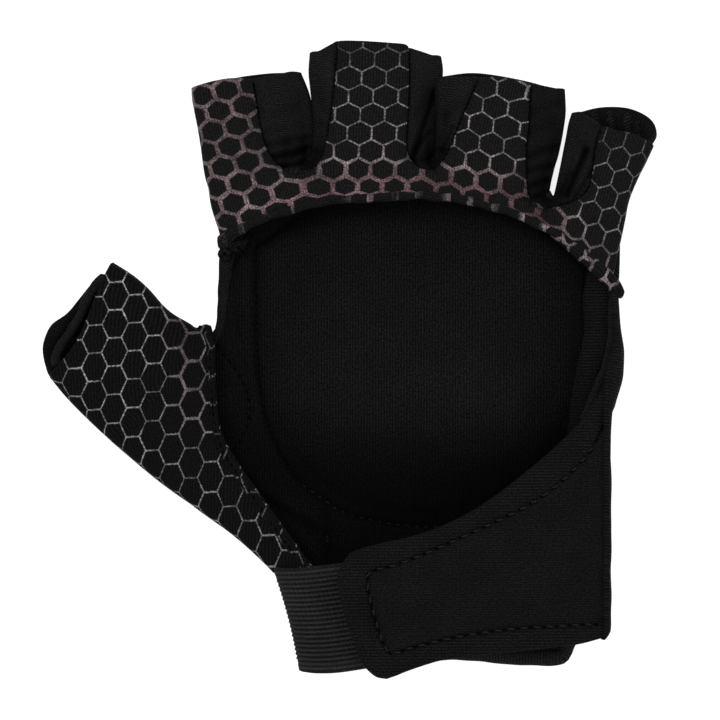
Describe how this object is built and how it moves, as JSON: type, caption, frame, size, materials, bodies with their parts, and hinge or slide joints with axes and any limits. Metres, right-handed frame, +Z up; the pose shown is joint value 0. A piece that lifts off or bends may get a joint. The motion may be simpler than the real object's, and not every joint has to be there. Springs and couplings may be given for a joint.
{
  "type": "open-palm half-finger sports glove",
  "caption": "Left-hand open-palm sports glove with half fingers, padded back, hexagon-print band, elastic and neoprene wrist strap.",
  "frame": {"origin": "centre of the flat that the back pad rests on", "axes": "+X from the thumb side to the little finger, +Y towards the fingertips, +Z up out of the palm, with the glove lying on its back"},
  "size_m": [0.1474, 0.1541, 0.0233],
  "materials": {
    "print_fabric": "black stretch knit printed with thin silver and mauve hexagon lines",
    "plain_fabric": "matte black stretch knit",
    "lining_fabric": "fine ribbed black lining with a slight sheen",
    "foam": "soft closed-cell foam under black fabric",
    "neoprene": "black knit-faced neoprene",
    "elastic_web": "black woven elastic webbing with cross ribs",
    "thread": "black sewing thread",
    "hook_tape": "black hook tape",
    "loop_tape": "black loop tape"
  },
  "bodies": {
    "hand": {"back_dome_pad": "foam", "back_base": "plain_fabric", "back_lining": "lining_fabric", "pad_seam_thread": "thread", "side_panel": "plain_fabric", "side_edge_binding": "plain_fabric", "crotch_binding": "plain_fabric", "palm_bridge": "print_fabric", "palm_bridge_hem": "print_fabric", "web_index_middle": "plain_fabric", "web_middle_ring": "plain_fabric", "web_ring_little": "plain_fabric", "thumb_base_panel": "print_fabric", "thumb_hem": "print_fabric", "cuff_back": "neoprene", "cuff_binding": "neoprene", "elastic_band": "elastic_web", "loop_patch": "loop_tape", "strap_side_fold": "neoprene"},
    "index_stall": {"index_palm_panel": "print_fabric", "index_gusset": "plain_fabric", "index_back_cover": "plain_fabric", "index_lining": "lining_fabric", "index_pad": "foam"},
    "middle_stall": {"middle_palm_panel": "print_fabric", "middle_gusset_index_side": "plain_fabric", "middle_gusset_ring_side": "plain_fabric", "middle_back_cover": "plain_fabric", "middle_lining": "lining_fabric", "middle_pad": "foam"},
    "ring_stall": {"ring_palm_panel": "print_fabric", "ring_gusset_middle_side": "plain_fabric", "ring_gusset_little_side": "plain_fabric", "ring_back_cover": "plain_fabric", "ring_lining": "lining_fabric", "ring_pad": "foam"},
    "little_stall": {"little_palm_panel": "print_fabric", "little_gusset": "plain_fabric", "little_back_cover": "plain_fabric", "little_lining": "lining_fabric", "little_pad": "foam"},
    "thumb_stall": {"thumb_palm_panel": "print_fabric", "thumb_back_cover": "plain_fabric", "thumb_lining": "lining_fabric", "thumb_pad": "foam"},
    "strap": {"strap_panel": "neoprene", "strap_edge_binding": "neoprene", "hook_patch": "hook_tape", "strap_seam_thread": "thread"}
  },
  "joints": [
    {"name": "index_bend", "type": "hinge", "parent": "hand", "child": "index_stall", "pos_m": [-0.0402, 0.0455, 0.0168], "axis": [0.9935, 0.114, 0], "range_deg": [0, 60]},
    {"name": "middle_bend", "type": "hinge", "parent": "hand", "child": "middle_stall", "pos_m": [-0.0123, 0.0475, 0.0168], "axis": [0.9994, -0.0347, 0], "range_deg": [0, 60]},
    {"name": "ring_bend", "type": "hinge", "parent": "hand", "child": "ring_stall", "pos_m": [0.0181, 0.0458, 0.0168], "axis": [0.9991, -0.0431, 0], "range_deg": [0, 60]},
    {"name": "little_bend", "type": "hinge", "parent": "hand", "child": "little_stall", "pos_m": [0.0421, 0.0403, 0.0168], "axis": [0.9538, -0.3005, 0], "range_deg": [0, 60]},
    {"name": "thumb_bend", "type": "hinge", "parent": "hand", "child": "thumb_stall", "pos_m": [-0.05925, -0.009, 0.0174], "axis": [0.4023, 0.9155, 0], "range_deg": [0, 50]},
    {"name": "strap_open", "type": "hinge", "parent": "hand", "child": "strap", "pos_m": [0.0445, -0.04, 0.0226], "axis": [0, 1, 0], "range_deg": [0, 150]}
  ]
}
